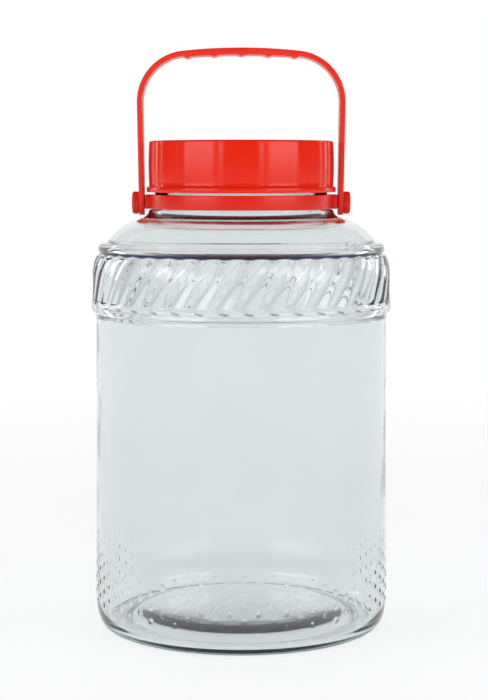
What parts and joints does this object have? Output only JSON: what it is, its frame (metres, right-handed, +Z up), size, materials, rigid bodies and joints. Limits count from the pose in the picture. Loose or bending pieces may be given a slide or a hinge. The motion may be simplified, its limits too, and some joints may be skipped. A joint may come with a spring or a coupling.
{
  "type": "wide-mouth glass carboy",
  "caption": "Large clear glass fermenting jar with a slant-fluted shoulder band, a dotted heel, a screw cap over an inner plug, and a carrying bail pivoted on a neck collar.",
  "frame": {"origin": "centre of the ring the jar stands on, at floor level", "axes": "+Z up along the jar's axis, +X through the bail's pivots, +Y from the front to the back"},
  "size_m": [0.2172, 0.2172, 0.4164],
  "materials": {
    "glass": "clear moulded glass with a faint blue-green tint",
    "collar_plastic": "red moulded plastic, satin gloss",
    "bail_plastic": "red moulded plastic, satin gloss",
    "cap_plastic": "red moulded plastic, satin gloss",
    "liner_foam": "pale foamed sealing disc",
    "plug_plastic": "soft red moulded plastic"
  },
  "bodies": {
    "jar": {"glass_jar": "glass"},
    "collar": {"neck_collar": "collar_plastic", "pivot_pin_left": "collar_plastic", "pivot_pin_right": "collar_plastic"},
    "bail": {"bail_handle": "bail_plastic"},
    "liner": {"cap_liner": "liner_foam"},
    "cap": {"screw_cap": "cap_plastic"},
    "plug": {"inner_plug": "plug_plastic"}
  },
  "joints": [
    {"name": "collar_swivel", "type": "hinge", "parent": "jar", "child": "collar", "pos_m": [0, 0, 0.3054], "axis": [0, 0, 1], "continuous": true},
    {"name": "bail_swing", "type": "hinge", "parent": "collar", "child": "bail", "pos_m": [0, 0, 0.3046], "axis": [1, 0, 0], "range_deg": [-88, 88]},
    {"name": "cap_rise", "type": "slide", "parent": "jar", "child": "liner", "axis": [0, 0, 1], "range_m": [0, 0.036]},
    {"name": "cap_turn", "type": "hinge", "parent": "liner", "child": "cap", "pos_m": [0, 0, 0.33], "axis": [0, 0, 1], "range_deg": [0, 1620]},
    {"name": "plug_lift", "type": "slide", "parent": "jar", "child": "plug", "axis": [0, 0, 1], "range_m": [0, 0.018]}
  ],
  "couplings": [
    {"joint": "cap_rise", "follows": "cap_turn", "m_per_rad": 0.0012732},
    {"joint": "plug_lift", "follows": "cap_turn", "m_per_rad": 0.00063662}
  ]
}
